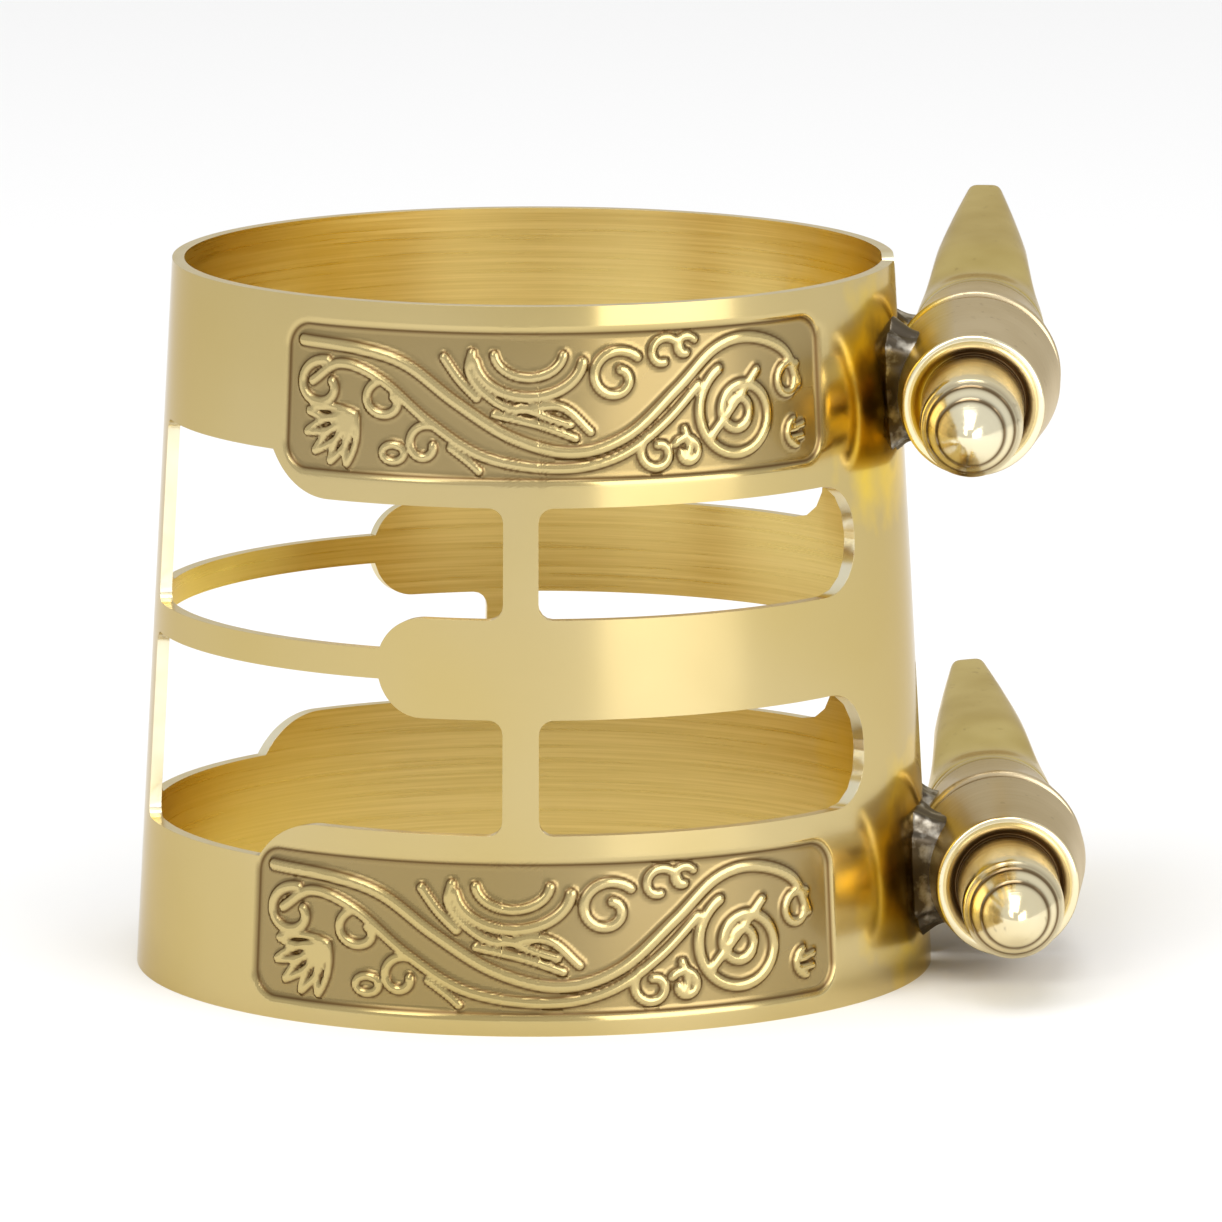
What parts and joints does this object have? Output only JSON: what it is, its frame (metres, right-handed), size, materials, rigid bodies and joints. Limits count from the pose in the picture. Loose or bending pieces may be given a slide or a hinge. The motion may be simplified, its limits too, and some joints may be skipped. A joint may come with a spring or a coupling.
{
  "type": "saxophone ligature",
  "caption": "Conical sheet-brass ring with cut-out windows and scroll-embossed bands, drawn closed over a mouthpiece and reed by thumb screws in soldered barrels.",
  "frame": {"origin": "on the band's axis, in the plane of the wide rim that the ligature stands on", "axes": "+Z along the band's axis from the wide rim to the narrow rim; +X from the axis to the gap and the screws; the nut posts are on the -Y side of the gap and the thumb heads on the +Y side"},
  "size_m": [0.0358, 0.0344, 0.0269],
  "materials": {
    "band_brass": "polished and lacquered, brushed inside",
    "post_brass": "satin turned",
    "screw_brass": "satin, pressed",
    "braze": "dull silver braze"
  },
  "bodies": {
    "band_side": {"band": "band_brass", "nut_post_upper": "post_brass", "nut_post_lower": "post_brass", "nut_braze_upper": "braze", "nut_braze_lower": "braze"},
    "far_side": {"plain_post_upper": "post_brass", "plain_post_lower": "post_brass", "plain_braze_upper": "braze", "plain_braze_lower": "braze"},
    "upper_screw": {"thumb_screw_upper": "screw_brass"},
    "lower_screw": {"thumb_screw_lower": "screw_brass"}
  },
  "joints": [
    {"name": "gap_slide", "type": "slide", "parent": "band_side", "child": "far_side", "axis": [0, -1, 0], "range_m": [-0.002, 0.0006], "deforming": ["band"]},
    {"name": "upper_screw_turn", "type": "hinge", "parent": "far_side", "child": "upper_screw", "pos_m": [0.01656, 0, 0.0221], "axis": [-0.0366, -0.9985, -0.0419], "range_deg": [-1600.5, 480.5]},
    {"name": "lower_screw_turn", "type": "hinge", "parent": "far_side", "child": "lower_screw", "pos_m": [0.01758, 0, 0.00385], "axis": [0.0297, -0.9995, -0.014], "range_deg": [-1600.5, 480.5]}
  ],
  "couplings": [
    {"joint": "upper_screw_turn", "follows": "gap_slide", "rad_per_m": 13963},
    {"joint": "lower_screw_turn", "follows": "gap_slide", "rad_per_m": 13963}
  ]
}
